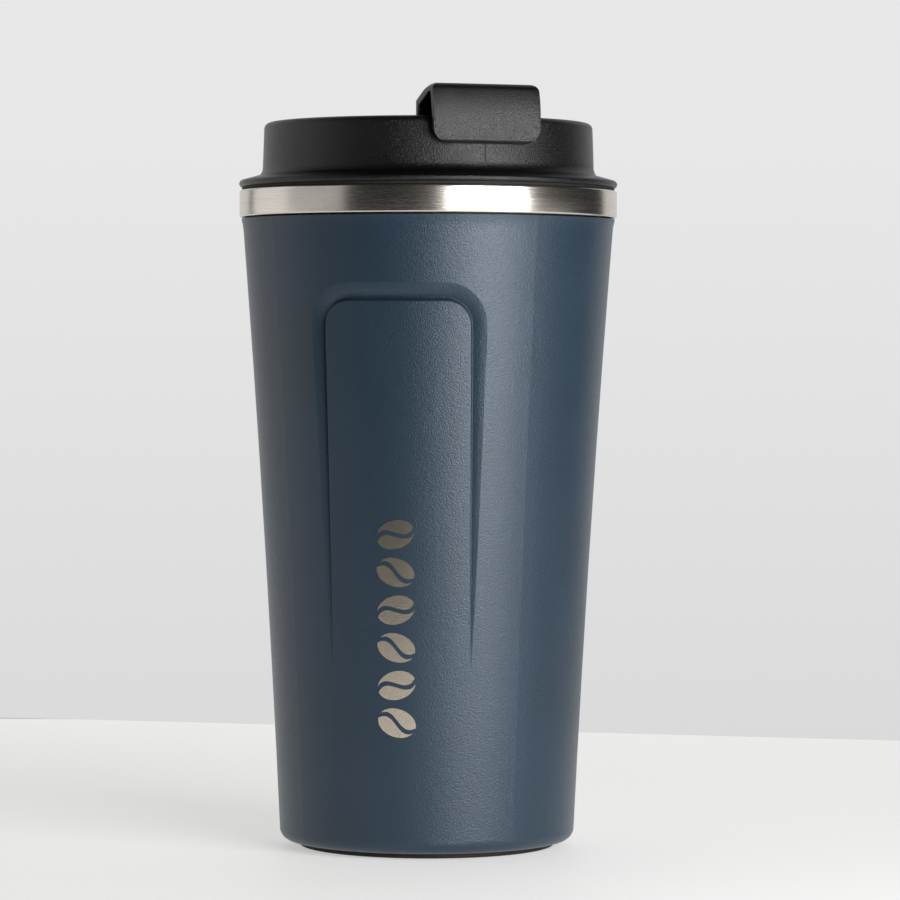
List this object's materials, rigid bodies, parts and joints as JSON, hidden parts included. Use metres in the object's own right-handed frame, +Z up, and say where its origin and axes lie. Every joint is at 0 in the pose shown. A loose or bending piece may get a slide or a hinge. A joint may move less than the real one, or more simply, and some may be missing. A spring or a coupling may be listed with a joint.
{
  "type": "insulated travel mug",
  "caption": "Vacuum-walled steel travel mug, flared and powder coated, with a push-in black lid and a flip tab that closes the sip opening.",
  "frame": {"origin": "middle of the foot pad's underside", "axes": "+Z up along the mug's axis, the flip tab's face points to -Y, the tab hinges about X"},
  "size_m": [0.0912, 0.0912, 0.1815],
  "materials": {
    "powder_coat": "slate blue powder coat, fine grain, satin",
    "bare_steel": "brushed stainless steel",
    "braze": "dull braze metal",
    "getter_grey": "dark sintered metal",
    "pin_steel": "polished stainless steel",
    "black_pp": "black polypropylene, fine moulded grain",
    "black_silicone": "matt black silicone"
  },
  "bodies": {
    "cup": {"outer_shell": "powder_coat", "rim_band": "bare_steel", "inner_liner": "bare_steel", "outer_base": "bare_steel", "vacuum_plug": "braze", "getter": "getter_grey", "base_cover": "bare_steel", "foot_pad": "black_silicone", "etched_mark": "bare_steel"},
    "lid": {"lid_shell": "black_pp", "lid_plug": "black_pp", "lid_seal": "black_silicone", "rim_gasket": "black_silicone", "hinge_pin": "pin_steel"},
    "flap": {"flap": "black_pp", "flap_stopper": "black_silicone"}
  },
  "joints": [
    {"name": "lid_lift", "type": "slide", "parent": "cup", "child": "lid", "axis": [0, 0, 1], "range_m": [0, 0.07]},
    {"name": "flap_hinge", "type": "hinge", "parent": "lid", "child": "flap", "pos_m": [0, 0.003, 0.1716], "axis": [-1, 0, 0], "range_deg": [0, 108]}
  ]
}
